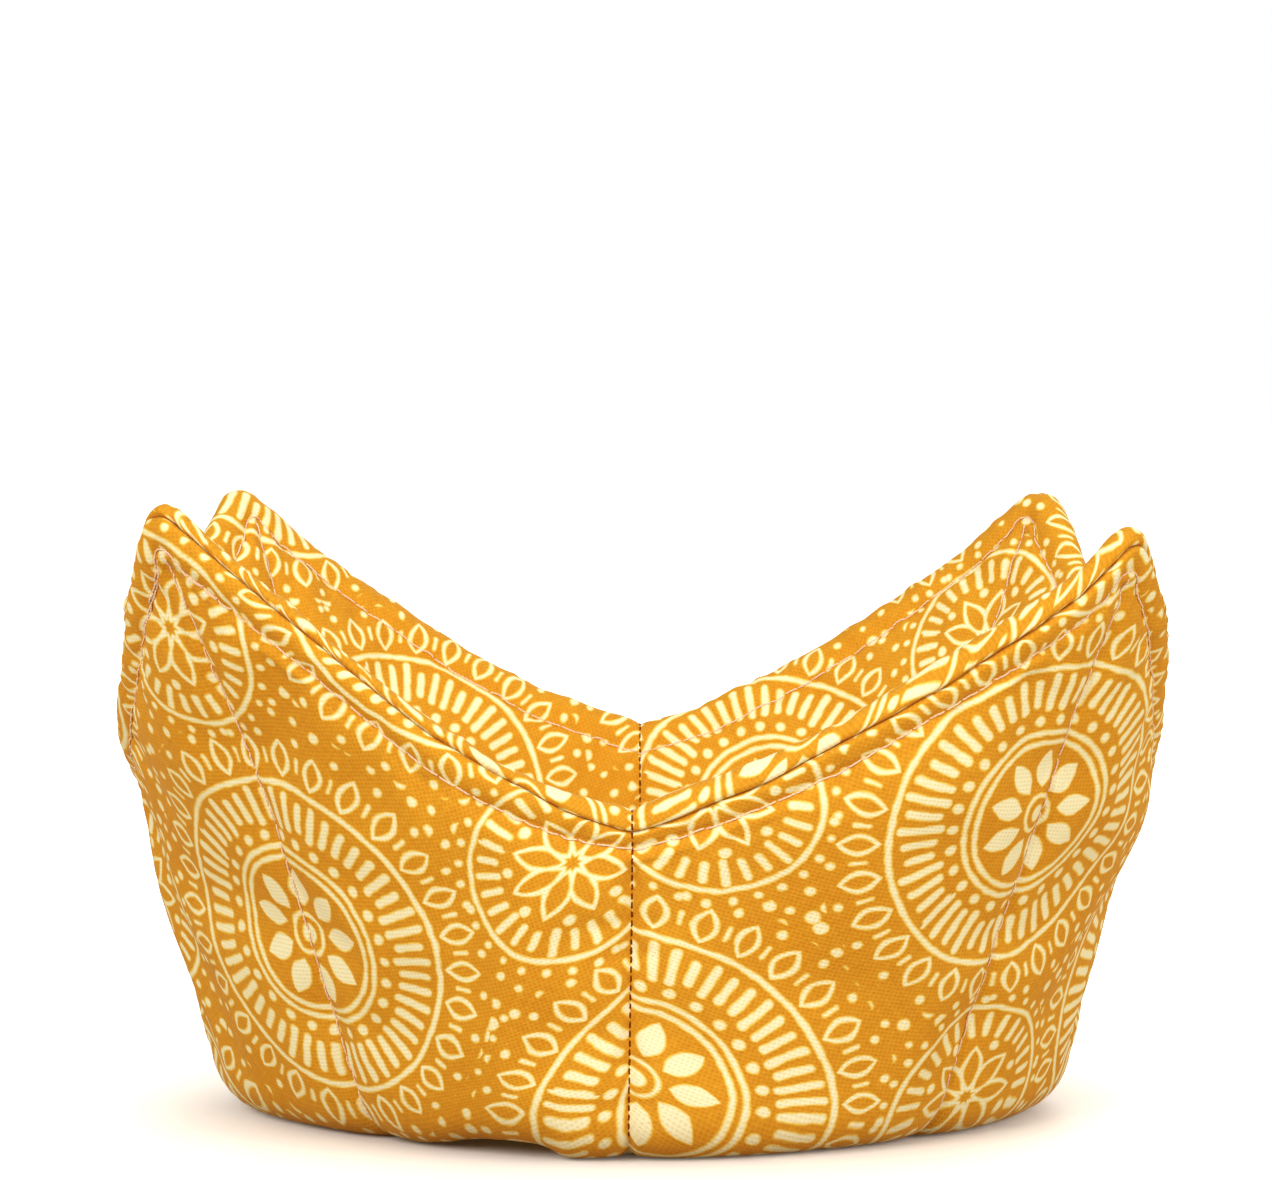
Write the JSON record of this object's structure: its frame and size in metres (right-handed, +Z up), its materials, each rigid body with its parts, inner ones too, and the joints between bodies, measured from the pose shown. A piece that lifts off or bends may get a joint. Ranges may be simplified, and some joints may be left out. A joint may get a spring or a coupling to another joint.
{
  "type": "microwave bowl cozy",
  "caption": "Padded cotton bowl holder with pointed corners, sewn from darted squares of printed cloth and wadding, to lift a hot bowl from a microwave.",
  "frame": {"origin": "middle of the underside, on the surface that the cozy stands on", "axes": "+Z up through the bowl's mouth, -Y towards the dart that faces the viewer, +X to the viewer's right; a dart lies on each of +X, +Y, -X and -Y and a pointed corner between each two"},
  "size_m": [0.1728, 0.1728, 0.1029],
  "materials": {
    "printed_cotton": "matte printed cotton canvas",
    "cotton_wadding": "matte cotton wadding",
    "stitching_thread": "slightly shiny sewing thread",
    "seam_thread": "dark sewing thread, half hidden in the seam"
  },
  "bodies": {
    "root": {"cover_cloth": "printed_cotton", "lining_cloth": "printed_cotton", "cover_wadding": "cotton_wadding", "lining_wadding": "cotton_wadding", "cover_topstitch_thread": "stitching_thread", "lining_topstitch_thread": "stitching_thread", "cover_quilting_thread_a": "stitching_thread", "cover_quilting_thread_b": "stitching_thread", "lining_quilting_thread_a": "stitching_thread", "lining_quilting_thread_b": "stitching_thread", "cover_dart_thread_right": "seam_thread", "cover_dart_thread_back": "seam_thread", "cover_dart_thread_left": "seam_thread", "cover_dart_thread_front": "seam_thread", "lining_dart_thread_right": "seam_thread", "lining_dart_thread_back": "seam_thread", "lining_dart_thread_left": "seam_thread", "lining_dart_thread_front": "seam_thread", "rim_seam_thread": "seam_thread"}
  },
  "joints": []
}
